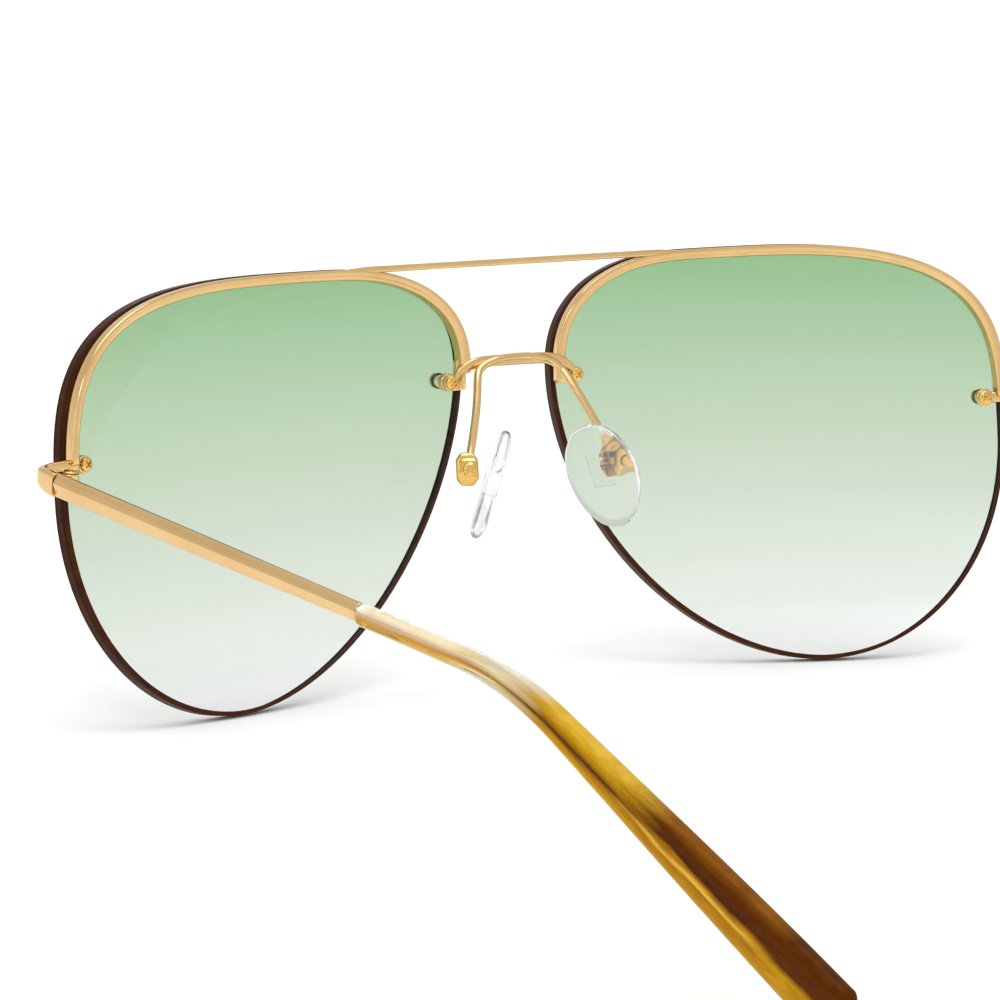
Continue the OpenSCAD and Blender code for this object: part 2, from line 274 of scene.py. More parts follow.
def temple_path(length):
    """Centre line of the temple at a length from the hinge: (back, up, turn in degrees)."""
    bend = math.radians(EAR_BEND)
    if length < BEND_FROM:
        return length, 0.0, 0.0
    if length < BEND_FROM + BEND_LEN:
        a = (length - BEND_FROM) / BEND_R
        return BEND_FROM + BEND_R * math.sin(a), BEND_R * (math.cos(a) - 1), math.degrees(a)
    rest = length - BEND_FROM - BEND_LEN
    back = BEND_FROM + BEND_R * math.sin(bend) + rest * math.cos(bend)
    up = BEND_R * (math.cos(bend) - 1) - rest * math.sin(bend)
    return back, up, EAR_BEND


def ease(a, b, x, x0, x1):
    """Smooth step from a to b while x goes from x0 to x1."""
    f = min(max((x - x0) / (x1 - x0), 0), 1)
    return a + (b - a) * f * f * (3 - 2 * f)


def spline(points, per_span=8):
    """Smooth curve through the points (Catmull-Rom)."""
    p = [np.array(q, float) for q in points]
    p = [2 * p[0] - p[1]] + p + [2 * p[-1] - p[-2]]
    curve = []
    for i in range(1, len(p) - 2):
        for k in range(per_span):
            t = k / per_span
            curve.append(0.5 * (2 * p[i] + (p[i + 1] - p[i - 1]) * t
                         + (2 * p[i - 1] - 5 * p[i] + 4 * p[i + 1] - p[i + 2]) * t ** 2
                         + (3 * p[i] - p[i - 1] - 3 * p[i + 1] + p[i + 2]) * t ** 3))
    curve.append(p[-2])
    return curve


def bezier(p0, p1, p2, p3, t):
    """Point at t of the cubic curve from p0 to p3."""
    p0, p1, p2, p3 = (np.array(p, float) for p in (p0, p1, p2, p3))
    return (1 - t) ** 3 * p0 + 3 * (1 - t) ** 2 * t * p1 + 3 * (1 - t) * t * t * p2 + t ** 3 * p3


def rounded_rect(w, h, r, steps=5):
    """Outline of a rectangle with round corners, centred on the origin."""
    outline = []
    for k, (sx, sy) in enumerate([(1, 1), (-1, 1), (-1, -1), (1, -1)]):
        for i in range(steps):
            a = math.radians(90 * k + 90 * i / (steps - 1))
            outline.append((sx * (w / 2 - r) + r * math.cos(a), sy * (h / 2 - r) + r * math.sin(a)))
    return outline


# ---------- meshes ----------

def loft(rings):
    """Closed solid through rings that all have the same number of points."""
    m = len(rings[0])
    verts = np.concatenate([np.asarray(r, float) for r in rings])
    faces = []
    for i in range(len(rings) - 1):
        for k in range(m):
            j = (k + 1) % m
            faces.append((i * m + k, i * m + j, (i + 1) * m + j, (i + 1) * m + k))
    faces.append(tuple(range(m - 1, -1, -1)))
    faces.append(tuple((len(rings) - 1) * m + k for k in range(m)))
    return verts, faces


def rounded_ends(rings, r, steps=5):
    """The rings, with the end edges of the solid rounded by r."""
    def cap(end, inner):
        centre = end.mean(0)
        out = centre - inner.mean(0)
        out /= np.linalg.norm(out)
        size = np.abs(end - centre).max(1).min()
        made = []
        for i in range(steps):
            a = math.radians(90 * i / (steps - 1))
            scale = 1 - min(r / size, 0.95) * (1 - math.cos(a))
            made.append(centre + (end - centre) * scale + out * r * (math.sin(a) - 1))
        return made
    rings = [np.asarray(ring, float) for ring in rings]
    first = cap(rings[0], rings[1])
    last = cap(rings[-1], rings[-2])
    return first[::-1] + rings[1:-1] + last


def tube(points, radius, sides=24):
    """Round wire along the points, with rounded ends."""
    points = [np.array(p, float) for p in points]
    n = len(points)
    side = None
    rings = []
    for i, p in enumerate(points):
        f = points[min(i + 1, n - 1)] - points[max(i - 1, 0)]
        f /= np.linalg.norm(f)
        if side is None:
            side = np.cross(f, (0.31, 0.2, 0.93))
        side = side - f * side.dot(f)
        side /= np.linalg.norm(side)
        other = np.cross(f, side)
        angles = [2 * math.pi * k / sides for k in range(sides)]
        rings.append([p + radius * (side * math.cos(a) + other * math.sin(a)) for a in angles])
    return loft(rounded_ends(rings, radius * 0.8))


def lathe(profile, sides=48):
    """Solid of revolution about Y through (radius, y) points, from one end to the other."""
    rings = []
    for r, y in profile:
        angles = [2 * math.pi * k / sides for k in range(sides)]
        rings.append([(max(r, 1e-4) * math.sin(a), y, max(r, 1e-4) * math.cos(a)) for a in angles])
    return loft(rings)


def disc(y0, y1, r, edge=0.08):
    """Round plate along Y with rounded edges."""
    arc = [math.radians(a) for a in (0, 30, 60, 90)]
    low = [(r - edge * (1 - math.sin(a)), y0 + edge * (1 - math.cos(a))) for a in arc]
    high = [(r - edge * (1 - math.cos(a)), y1 - edge * (1 - math.sin(a))) for a in arc]
    return lathe([(0, y0)] + low + high + [(0, y1)])


def grid(xs, ys, zs):
    """Every point that takes one value from each list."""
    return [(x, y, z) for x in xs for y in ys for z in zs]


def box(x0, x1, y0, y1, z0, z1):
    """Plain block, used as a cutter."""
    verts = np.array(grid((x0, x1), (y0, y1), (z0, z1)), float)
    return verts, [(0, 1, 3, 2), (4, 6, 7, 5), (0, 4, 5, 1), (2, 3, 7, 6), (0, 2, 6, 4), (1, 5, 7, 3)]


def hull(points, soft=0.0, segments=3):
    """Convex solid around the points, with its sharp edges rounded by soft."""
    bm = bmesh.new()
    for p in points:
        bm.verts.new(p)
    made = bmesh.ops.convex_hull(bm, input=bm.verts)
    spare = {v for v in made["geom_interior"] + made["geom_unused"] if isinstance(v, bmesh.types.BMVert)}
    bmesh.ops.delete(bm, geom=list(spare), context="VERTS")
    bmesh.ops.dissolve_limit(bm, angle_limit=math.radians(1), verts=bm.verts, edges=bm.edges)
    return soften(bm, soft, segments)


def soften(bm, width, segments=3):
    """Rounds the sharp edges of a bmesh, then gives it as (points, faces)."""
    if width:
        sharp = [e for e in bm.edges if len(e.link_faces) == 2 and e.calc_face_angle(0) > 0.6]
        bmesh.ops.bevel(bm, geom=sharp, offset=width, segments=segments, profile=0.5,
                        affect="EDGES", clamp_overlap=True)
    bmesh.ops.recalc_face_normals(bm, faces=bm.faces)
    verts = np.array([v.co for v in bm.verts], float)
    bm.verts.index_update()
    faces = [tuple(v.index for v in f.verts) for f in bm.faces]
    bm.free()
    return verts, faces


def circle_points(matrix, y0, y1, r, x=0.0, z=0.0, n=32):
    """Points of a disc along Y, for a hull."""
    ring = [(x + r * math.cos(2 * math.pi * k / n), z + r * math.sin(2 * math.pi * k / n))
            for k in range(n)]
    return apply(matrix, [(px, y, pz) for y in (y0, y1) for px, pz in ring])


def moved(matrix, shape):
    """A shape, which is (points, faces), moved by a matrix."""
    return apply(matrix, shape[0]), shape[1]


def joined(*shapes):
    """Several shapes as one."""
    verts, faces, start = [], [], 0
    for v, f in shapes:
        verts.append(v)
        faces += [tuple(i + start for i in face) for face in f]
        start += len(v)
    return np.concatenate(verts), faces


def place(name, shape, side=LEFT, sharp=35):
    """Object from a shape in the front's frame, in metres in the row frame."""
    verts = np.array(shape[0], float)
    verts[:, 0] *= side
    verts = apply(STAND, verts) * MM
    mesh = bpy.data.meshes.new(name)
    faces = shape[1] if side == LEFT else [f[::-1] for f in shape[1]]
    mesh.from_pydata(verts.tolist(), [], faces)
    bm = bmesh.new()
    bm.from_mesh(mesh)
    bmesh.ops.remove_doubles(bm, verts=bm.verts, dist=2e-6)
    bmesh.ops.recalc_face_normals(bm, faces=bm.faces)
    bm.to_mesh(mesh)
    bm.free()
    obj = bpy.data.objects.new(name, mesh)
    bpy.context.scene.collection.objects.link(obj)
    smooth_by_angle(obj, sharp)
    return obj


def cut(obj, side, *shapes):
    """Cuts shapes, given in the front's frame, from an object."""
    for shape in shapes:
        tool = place("cutter", shape, side)
        modifier = obj.modifiers.new("cut", "BOOLEAN")
        modifier.operation = "DIFFERENCE"
        modifier.solver = "EXACT"
        modifier.object = tool
        graph = bpy.context.evaluated_depsgraph_get()
        made = bpy.data.meshes.new_from_object(obj.evaluated_get(graph))
        obj.modifiers.clear()
        old, obj.data = obj.data, made
        bpy.data.meshes.remove(old)
        tool_mesh = tool.data
        bpy.data.objects.remove(tool)
        bpy.data.meshes.remove(tool_mesh)


def add_mesh(obj, other):
    """Adds another object's mesh to this one, and removes the other object."""
    bm = bmesh.new()
    bm.from_mesh(obj.data)
    bm.from_mesh(other.data)
    bm.to_mesh(obj.data)
    bm.free()
    bpy.data.objects.remove(other)


def smooth_by_angle(obj, degrees=35):
    """Smooth shading, broken at edges sharper than the angle."""
    obj.data.shade_smooth()
    obj.data.set_sharp_from_angle(angle=math.radians(degrees))


def piece(obj, body, nodes, material):
    """Gives a finished object its material, hangs it on its body's empty and hides the CAD parts it stands
    for.
    """
    if not obj.data.materials:
        obj.data.materials.append(material)
    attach(obj, body)
    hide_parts(*nodes)
    return obj


# ---------- materials ----------

def new_material(name):
    """A new material, its nodes, its links and its shader."""
    material = bpy.data.materials.new(name)
    material.use_nodes = True
    nodes = material.node_tree.nodes
    return material, nodes, material.node_tree.links, nodes["Principled BSDF"]


def noise(nodes, links, scale, detail, stretch=(1, 1, 1)):
    """Noise over the object's own coordinates, stretched along one direction."""
    where = nodes.new("ShaderNodeTexCoord")
    mapping = nodes.new("ShaderNodeMapping")
    mapping.inputs["Scale"].default_value = stretch
    made = nodes.new("ShaderNodeTexNoise")
    made.inputs["Scale"].default_value = scale
    made.inputs["Detail"].default_value = detail
    links.new(where.outputs["Object"], mapping.inputs["Vector"])
    links.new(mapping.outputs["Vector"], made.inputs["Vector"])
    return made.outputs["Fac"]


def height_of(nodes, links, kind):
    """Z of one of the texture coordinates."""
    where = nodes.new("ShaderNodeTexCoord")
    split = nodes.new("ShaderNodeSeparateXYZ")
    links.new(where.outputs[kind], split.inputs["Vector"])
    return split.outputs["Z"]


def remap(nodes, links, source, low, high, from_low=0.3, from_high=0.7):
    """The source's range from_low to from_high, turned into low to high."""
    made = nodes.new("ShaderNodeMapRange")
    made.inputs["From Min"].default_value = from_low
    made.inputs["From Max"].default_value = from_high
    made.inputs["To Min"].default_value = low
    made.inputs["To Max"].default_value = high
    links.new(source, made.inputs["Value"])
    return made.outputs["Result"]


def ramp(nodes, links, source, stops):
    """Colour ramp through (position, colour) stops."""
    made = nodes.new("ShaderNodeValToRGB")
    elements = made.color_ramp.elements
    while len(elements) > 1:
        elements.remove(elements[-1])
    elements[0].position, elements[0].color = stops[0][0], (*stops[0][1], 1)
    for position, colour in stops[1:]:
        elements.new(position).color = (*colour, 1)
    links.new(source, made.inputs["Fac"])
    return made.outputs["Color"]


def bump(nodes, links, height, shader, strength, distance):
    """Fine relief on the shader's surface."""
    made = nodes.new("ShaderNodeBump")
    made.inputs["Strength"].default_value = strength
    made.inputs["Distance"].default_value = distance
    links.new(height, made.inputs["Height"])
    links.new(made.outputs["Normal"], shader.inputs["Normal"])


def gold(name, dark, light, roughness, grain):
    """Plated gold: slow colour drift, fine polishing grain and uneven gloss."""
    material, nodes, links, shader = new_material(name)
    shader.inputs["Metallic"].default_value = 1
    drift = noise(nodes, links, 90, 2)
    links.new(ramp(nodes, links, drift, [(0.35, dark), (0.65, light)]),
              shader.inputs["Base Color"])
    fine = noise(nodes, links, 2600, 3, stretch=(0.25, 1, 1))
    links.new(remap(nodes, links, fine, roughness - 0.04, roughness + 0.05),
              shader.inputs["Roughness"])
    bump(nodes, links, fine, shader, grain, 0.00002)
    return material


def tinted_glass():
    """Lens: green at the top, fading to almost clear at the bottom."""
    material, nodes, links, shader = new_material("tinted_lens")
    shader.inputs["Transmission Weight"].default_value = 1
    shader.inputs["IOR"].default_value = 1.25
    shader.inputs["Specular IOR Level"].default_value = 0.3
    shader.inputs["Roughness"].default_value = 0
    height = remap(nodes, links, height_of(nodes, links, "Object"), 0, 1, 0, TINT_TOP)
    links.new(ramp(nodes, links, height, [
        (0.0, (1.0, 1.0, 1.0)), (0.05, (0.97, 0.98, 0.98)), (0.14, (0.76, 0.80, 0.76)),
        (0.4, (0.56, 0.63, 0.53)), (0.64, (0.445, 0.57, 0.41)), (0.84, (0.33, 0.50, 0.315)),
        (1.0, (0.24, 0.44, 0.205))]),
        shader.inputs["Base Color"])
    return material


def edge_paint(name, dark, light):
    """Brown paint on the lens's edge wall and bevel, slightly mottled; a darker copy of it paints shade on
    the wall's edges.
    """
    material, nodes, links, shader = new_material(name)
    shader.inputs["Specular IOR Level"].default_value = 0.05
    mottle = noise(nodes, links, 500, 3)
    links.new(ramp(nodes, links, mottle, [(0.35, dark), (0.65, light)]),
              shader.inputs["Base Color"])
    links.new(remap(nodes, links, mottle, 0.3, 0.45), shader.inputs["Roughness"])
    return material


def clear(name, colour, ior, roughness, clarity):
    """Clear or milky moulded plastic with slightly uneven gloss."""
    material, nodes, links, shader = new_material(name)
    shader.inputs["Transmission Weight"].default_value = clarity
    shader.inputs["IOR"].default_value = ior
    shader.inputs["Base Color"].default_value = (*colour, 1)
    cloud = noise(nodes, links, 350, 3)
    links.new(remap(nodes, links, cloud, roughness * 0.6, roughness * 1.5),
              shader.inputs["Roughness"])
    bump(nodes, links, cloud, shader, 0.15, 0.00004)
    return material


def acetate():
    """Streaked honey acetate: clear at the metal, amber and dark brown towards the end; a painted highlight
    whitens its upper half near the metal, and a painted shade line runs along the core.
    """
    material, nodes, links, shader = new_material("acetate")
    shader.inputs["IOR"].default_value = 1.2
    shader.inputs["Roughness"].default_value = 0.06
    shader.inputs["Specular IOR Level"].default_value = 0.12

    def attribute(name):
        made = nodes.new("ShaderNodeAttribute")
        made.attribute_name = name
        return made.outputs["Fac"]

    along, across = attribute("along"), attribute("across")
    spot = nodes.new("ShaderNodeCombineXYZ")
    links.new(along, spot.inputs["X"])
    links.new(across, spot.inputs["Y"])

    def streaks(scale, stretch, offset):
        """Noise drawn out along the tip."""
        mapping = nodes.new("ShaderNodeMapping")
        mapping.inputs["Scale"].default_value = (stretch, 1, 1)
        mapping.inputs["Location"].default_value = (offset, offset, 0)
        made = nodes.new("ShaderNodeTexNoise")
        made.inputs["Scale"].default_value = scale
        made.inputs["Detail"].default_value = 5
        made.inputs["Distortion"].default_value = 0.4
        links.new(spot.outputs["Vector"], mapping.inputs["Vector"])
        links.new(mapping.outputs["Vector"], made.inputs["Vector"])
        return made.outputs["Fac"]

    def shifted(source, amount, wobble):
        """A coordinate pushed about by streaks, so that colour borders run unevenly."""
        add = nodes.new("ShaderNodeMath")
        add.operation = "MULTIPLY_ADD"
        links.new(wobble, add.inputs[0])
        add.inputs[1].default_value = amount
        links.new(source, add.inputs[2])
        back = nodes.new("ShaderNodeMath")
        back.operation = "SUBTRACT"
        links.new(add.outputs[0], back.inputs[0])
        back.inputs[1].default_value = amount / 2
        return back.outputs[0]

    def mix(factor, a, b, blend="MIX"):
        made = nodes.new("ShaderNodeMix")
        made.data_type = "RGBA"
        made.blend_type = blend
        links.new(factor, made.inputs["Factor"])
        links.new(a, made.inputs["A"])
        links.new(b, made.inputs["B"])
        return made.outputs["Result"]

    clarity = remap(nodes, links, along, 0.88, 0.02, 0.24, 0.42)
    links.new(clarity, shader.inputs["Transmission Weight"])
    height = remap(nodes, links, shifted(across, 0.45, streaks(2.2, 3.5, 3.1)), 0, 1, -1, 1)
    length = shifted(along, 0.1, streaks(4, 0.5, 7.7))
    # Start of the tip: the near-white upper half is a painted highlight over the honey amber below
    start = ramp(nodes, links, height, [
        (0.0, (0.95, 0.90, 0.78)), (0.12, (0.80, 0.56, 0.14)), (0.42, (0.68, 0.40, 0.05)),
        (0.52, (0.84, 0.62, 0.26)), (0.58, (0.98, 0.95, 0.92)), (1, (1.0, 0.98, 0.97))])
    # Bend: the pale upper part carries the painted highlight on; the dark stop at 0.46 is painted shade
    # along the core
    bend = ramp(nodes, links, height, [
        (0.0, (0.90, 0.92, 0.85)), (0.2, (0.86, 0.82, 0.60)), (0.36, (0.80, 0.62, 0.26)),
        (0.46, (0.24, 0.14, 0.015)), (0.54, (0.60, 0.40, 0.10)), (0.62, (0.90, 0.84, 0.56)),
        (0.84, (0.93, 0.89, 0.70)), (1, (0.97, 0.92, 0.86))])
    # Middle: the near-black stop at 0.5 is painted shade along the core, with amber on both sides
    middle = ramp(nodes, links, height, [
        (0.0, (0.74, 0.62, 0.25)), (0.16, (0.58, 0.31, 0.006)), (0.36, (0.44, 0.20, 0.003)),
        (0.5, (0.06, 0.018, 0.002)), (0.62, (0.34, 0.15, 0.003)), (0.8, (0.54, 0.29, 0.006)),
        (1, (0.62, 0.39, 0.04))])
    spear = ramp(nodes, links, height, [
        (0.0, (0.56, 0.31, 0.01)), (0.2, (0.46, 0.22, 0.004)), (0.38, (0.40, 0.17, 0.003)),
        (0.45, (0.72, 0.45, 0.06)), (0.52, (0.44, 0.20, 0.004)), (0.62, (0.075, 0.017, 0.002)),
        (0.84, (0.10, 0.025, 0.002)), (1, (0.22, 0.075, 0.002))])
    end = ramp(nodes, links, height, [
        (0.0, (0.56, 0.31, 0.01)), (0.42, (0.50, 0.25, 0.005)), (0.58, (0.10, 0.027, 0.002)),
        (1, (0.09, 0.023, 0.001))])
    whole = start
    joins = ((bend, 0.18, 0.26), (middle, 0.29, 0.38), (spear, 0.54, 0.64), (end, 0.83, 0.88))
    for following, low, high in joins:
        whole = mix(remap(nodes, links, length, 0, 1, low, high), whole, following)
    grain = ramp(nodes, links, streaks(7, 5, 1.3), [(0.3, (0.72, 0.66, 0.55)), (0.6, (1, 1, 1))])
    streaked = mix(remap(nodes, links, length, 0.1, 0.9, 0.2, 0.6), whole, grain, "MULTIPLY")
    links.new(streaked, shader.inputs["Base Color"])
    return material


def matt(name, colour):
    """Plain matt surface."""
    material, _, _, shader = new_material(name)
    shader.inputs["Base Color"].default_value = (*colour, 1)
    shader.inputs["Roughness"].default_value = 0.9
    shader.inputs["Specular IOR Level"].default_value = 0.1
    return material


GOLD = gold("gold_metal", (0.70, 0.46, 0.20), (0.76, 0.52, 0.24), 0.15, 0.2)
BRIGHT = gold("gold_screw", (0.74, 0.47, 0.13), (0.80, 0.53, 0.18), 0.09, 0.1)
GLASS = tinted_glass()
PAINT = edge_paint("edge_paint", (0.042, 0.011, 0.003), (0.065, 0.019, 0.004))
# Darker copy of the edge paint: painted shade on the edge wall's rear and front parts and on the front bevel
SHADED_EDGE_PAINT = edge_paint("edge_paint_painted_shade", (0.016, 0.003, 0.001), (0.026, 0.006, 0.001))
SILICONE = clear("silicone", (0.97, 0.985, 0.98), 1.3, 0.07, 0.92)
INSERT = clear("clear_insert", (0.97, 0.98, 0.98), 1.05, 0.06, 0.97)
CLEAR = clear("clear_plastic", (0.93, 0.95, 0.93), 1.45, 0.1, 0.95)
ACETATE = acetate()


# ---------- lenses and their fixings ----------

def on_sphere(p, drop):
    """Point of the sphere that lies drop in front of the lens's rear one."""
    return p[0], LENS_R - math.sqrt((LENS_R + drop) ** 2 - p @ p), p[1]


def lens_shape():
    """Meniscus with a bevelled edge, how many of its first faces are glass, and which are brown: the rear
    bevel, and a middle band of the wall that is a painted highlight line between painted-shade edges.
    """
    steps, rings = 240, 16
    angles = [360 * k / steps for k in range(steps)]
    middle = np.array(LENS_MIDDLE, float)

    def cap(border, drop):
        """Middle point and then rings out to the border."""
        rows = [[middle + (p - middle) * i / rings for p in border] for i in range(1, rings + 1)]
        return [on_sphere(middle, drop)] + [on_sphere(p, drop) for row in rows for p in row]

    rear = cap([inset_point(a, BEVEL_W) for a in angles], 0)
    front = cap([inset_point(a, FRONT_BEVEL) for a in angles], LENS_T)
    wall = [on_sphere(lens_point(a), depth)
            for depth in (BEVEL_D, HIGHLIGHT_BAND_FROM, HIGHLIGHT_BAND_TO, LENS_T - FRONT_BEVEL) for a in angles]
    front_start, wall_start = len(rear), len(rear) + len(front)

    faces = []
    for start, flip in ((0, False), (front_start, True)):
        for k in range(steps):
            j = (k + 1) % steps
            fan = (start, start + 1 + k, start + 1 + j)
            faces.append(fan[::-1] if flip else fan)
        for i in range(rings - 1):
            for k in range(steps):
                j = (k + 1) % steps
                a = start + 1 + i * steps
                quad = (a + k, a + steps + k, a + steps + j, a + j)
                faces.append(quad[::-1] if flip else quad)
    glass = len(faces)
    last_ring = 1 + (rings - 1) * steps
    border = [last_ring, *(wall_start + i * steps for i in range(4)), front_start + last_ring]
    for a, b in zip(border, border[1:]):
        for k in range(steps):
            j = (k + 1) % steps
            faces.append((a + k, b + k, b + j, a + j))
    # The rear bevel and the wall's middle band stay brown, the band as a painted highlight line; the rest of
    # the wall and the front bevel take painted shade
    bevel = range(glass, glass + steps)
    band = range(glass + 2 * steps, glass + 3 * steps)
    return (apply(LENS_FRAME, rear + front + wall), faces), glass, {*bevel, *band}


def make_lens(name, side):
    """Glass with painted edges and two screw holes; the edge wall carries painted shade at its rear and
    front parts and a painted highlight band in its middle.
    """
    shape, glass_faces, bevel_and_highlight_band_faces = lens_shape()
    obj = place(f"{name}_lens", shape, side)
    # Slot 1 paints shade on the edge wall; slot 2 is the paint's brown, on the rear bevel and on the painted
    # highlight band
    for material in (GLASS, SHADED_EDGE_PAINT, PAINT):
        obj.data.materials.append(material)
    for face in obj.data.polygons:
        face.material_index = 0 if face.index < glass_faces else 2 if face.index in bevel_and_highlight_band_faces else 1
    holes = [moved(m, disc(-5, 3, HOLE_R, 0.02)) for m in (TEMPORAL_MOUNT, NASAL_MOUNT)]
    cut(obj, side, *holes)
    smooth_by_angle(obj, 25)
    return piece(obj, "front", [f"lens_{name}"], GLASS)


def domed_head(y0, height, r):
    """Screw head along Y with a low dome."""
    rise = height * 0.45
    dome = [(r * math.cos(math.radians(a)), y0 + height - rise + rise * math.sin(math.radians(a)))
            for a in range(0, 91, 15)]
    return lathe([(0, y0), (r * 0.94, y0), (r, y0 + 0.06)] + dome)


def cross_cutters(matrix, y, r):
    """Two thin boxes that cut a cross recess into a screw head that faces +Y."""
    blade = box(-r, r, -0.32, 0.3, -r / 5, r / 5)
    return [moved(matrix @ shift(0, y, 0) @ turn("Y", a), blade) for a in (45, 135)]


def make_lens_screw(name, side, mount, grip):
    """Cross-head screw whose head stands on the metal at grip."""
    screw = place(name, moved(mount, domed_head(grip, HEAD_T, HEAD_R)), side)
    cut(screw, side, *cross_cutters(mount, grip + HEAD_T, HEAD_R * RECESS))
    shank = disc(-LENS_T - WASHER_T - NUT_T + 0.3, grip + OVERLAP, SCREW_R)
    add_mesh(screw, place("shank", moved(mount, shank), side))
    return screw


def make_lens_screws(name, side):
    """Both screws of a lens; the nasal one also holds the end of the bridge."""
    grip = WASHER_T + TAB_T + SEAM
    screws = make_lens_screw(f"{name}_lens_screws", side, TEMPORAL_MOUNT, grip)
    add_mesh(screws, make_lens_screw("nasal_screw", side, NASAL_MOUNT, grip + STRIP_T + SEAM))
    smooth_by_angle(screws)
    return piece(screws, "front", [f"lens_screws_{name}"], BRIGHT)


def make_lens_nuts(name, side):
    """Domed nuts on the lens's front."""
    y, band = -LENS_T - WASHER_T, 0.4
    dome = [(NUT_R * math.sin(a), y - band - (NUT_T - band) * math.cos(a))
            for a in np.radians(range(0, 91, 10))]
    profile = dome + [(NUT_R, y - 0.08), (NUT_R - 0.07, y), (0, y)]
    shapes = [moved(m, lathe(profile)) for m in (TEMPORAL_MOUNT, NASAL_MOUNT)]
    return piece(place(f"{name}_lens_nuts", joined(*shapes), side), "front",
                 [f"lens_nuts_{name}"], BRIGHT)


def ring(y0, y1, inner, outer, sides=48):
    """Tube along Y."""
    rows = [[(r * math.sin(2 * math.pi * k / sides), y, r * math.cos(2 * math.pi * k / sides))
             for k in range(sides)] for r, y in ((outer, y0), (outer, y1), (inner, y1), (inner, y0))]
    verts = np.array([p for row in rows for p in row])
    faces = [(i * sides + k, i * sides + (k + 1) % sides, ((i + 1) % 4) * sides + (k + 1) % sides,
              ((i + 1) % 4) * sides + k) for i in range(4) for k in range(sides)]
    return verts, faces


def make_bushings(name, side):
    """Clear sleeve and collar of each lens hole, and the washer behind the lens."""
    sleeves = []
    washers = []
    for m in (TEMPORAL_MOUNT, NASAL_MOUNT):
        sleeves.append(moved(m, ring(-LENS_T - WASHER_T, -LENS_T - 0.01, SCREW_R + FIT, NUT_R)))
        sleeves.append(moved(m, ring(-LENS_T + 0.01, -0.01, SCREW_R + FIT, HOLE_R - FIT)))
        washers.append(moved(m, ring(0.02, WASHER_T, SCREW_R + FIT, NUT_R)))
    piece(place(f"{name}_lens_bushings", joined(*sleeves), side), "front",
          [f"lens_bushings_{name}"], CLEAR)
    piece(place(f"{name}_lens_washers", joined(*washers), side), "front",
          [f"lens_washers_{name}"], CLEAR)


# ---------- front metalwork ----------

def make_rim(name, side):
    """Flat wire that follows the top of the lens, just behind it."""
    section = rounded_rect(RIM_W, RIM_D, RIM_ROUND)
    rings = []
    for a in np.linspace(RIM_FROM - RIM_TAIL, RIM_TO, 130):
        outer, inner = inset_point(a, RIM_INSET), inset_point(a, RIM_INSET + RIM_W)
        row = []
        for w, d in section:
            p = outer + (inner - outer) * (w / RIM_W + 0.5)
            row.append((p[0], rear_depth(p[0], p[1], RIM_GAP + RIM_D / 2 + d), p[1]))
        rings.append(row)
    shape = moved(LENS_FRAME, loft(rounded_ends(rings, RIM_ROUND)))
    return piece(place(f"{name}_rim", shape, side), "front", [f"rim_{name}"], GOLD)


def make_brow_bar():
    """Straight bar whose ends thin out where they run into the rims."""
    section = rounded_rect(BROW_T, BROW_H, 0.25)
    rings = []
    for x in np.linspace(-BROW_HALF, BROW_HALF, 61):
        thin = ease(1, 0.45, abs(x), BROW_HALF - BROW_TAPER, BROW_HALF)
        rings.append([(x, BROW_Y + d, BROW_Z + h * thin) for d, h in section])
    obj = place("brow_bar_look", loft(rounded_ends(rings, 0.1)))
    return piece(obj, "front", ["brow_bar"], GOLD)


def bridge_height(x):
    """Middle of the bridge bar: flat over the nose, then down to the screws."""
    return BRIDGE_TOP - BRIDGE_FALL * (abs(x) / BRIDGE_X) ** 5


def make_bridge():
    """Bar that turns down at each end to the eyelet under the screw."""
    section = rounded_rect(BRIDGE_T, BRIDGE_H, 0.3)
    rings = []
    for x in np.linspace(-BRIDGE_BAR, BRIDGE_BAR, 49):
        tall = ease(BRIDGE_H, BRIDGE_END_H, abs(x), 5, BRIDGE_BAR)
        rings.append([(x, BRIDGE_Y + d, bridge_height(x) + h * tall / BRIDGE_H) for d, h in section])
    bar = place("bridge_look", loft(rounded_ends(rings, 0.15)))
    y = WASHER_T + TAB_T + SEAM
    for side in (LEFT, RIGHT):
        eyelet = moved(NASAL_MOUNT, disc(y, y + STRIP_T, BRIDGE_EYELET_R))
        add_mesh(bar, place("eyelet", eyelet, side))
    smooth_by_angle(bar)
    return piece(bar, "front", ["bridge"], GOLD)


def make_pad_wire():
    """One wire along the bridge that turns down to both pad boxes."""
    route = [(-x, y, z) for x, y, z in WIRE_ROUTE[:0:-1]] + list(WIRE_ROUTE)
    shape = tube(spline(route, 6), WIRE_R)
    return piece(place("pad_wire_look", shape), "front", ["pad_wire"], GOLD)


def make_nasal_tab(name, side):
    """Eyelet under the nasal screw, and the fin that the rim ends on."""
    y0, y1 = WASHER_T, WASHER_T + TAB_T
    eyelet = np.concatenate([circle_points(NASAL_MOUNT, y0, y1, TAB_R, n=48),
                             circle_points(NASAL_MOUNT, y0, y1, 0.4, -2, -0.6)])
    fin = np.concatenate([circle_points(NASAL_MOUNT, y0 - 0.01, y1 + 0.01, 0.4, x, z)
                          for x in (-2, -1.4) for z in (-0.6, 2.3)])
    obj = place(f"{name}_nasal_tab", joined(hull(eyelet, 0.14), hull(fin, 0.14)), side, 30)
    return piece(obj, "front", [f"nasal_tab_{name}"], GOLD)


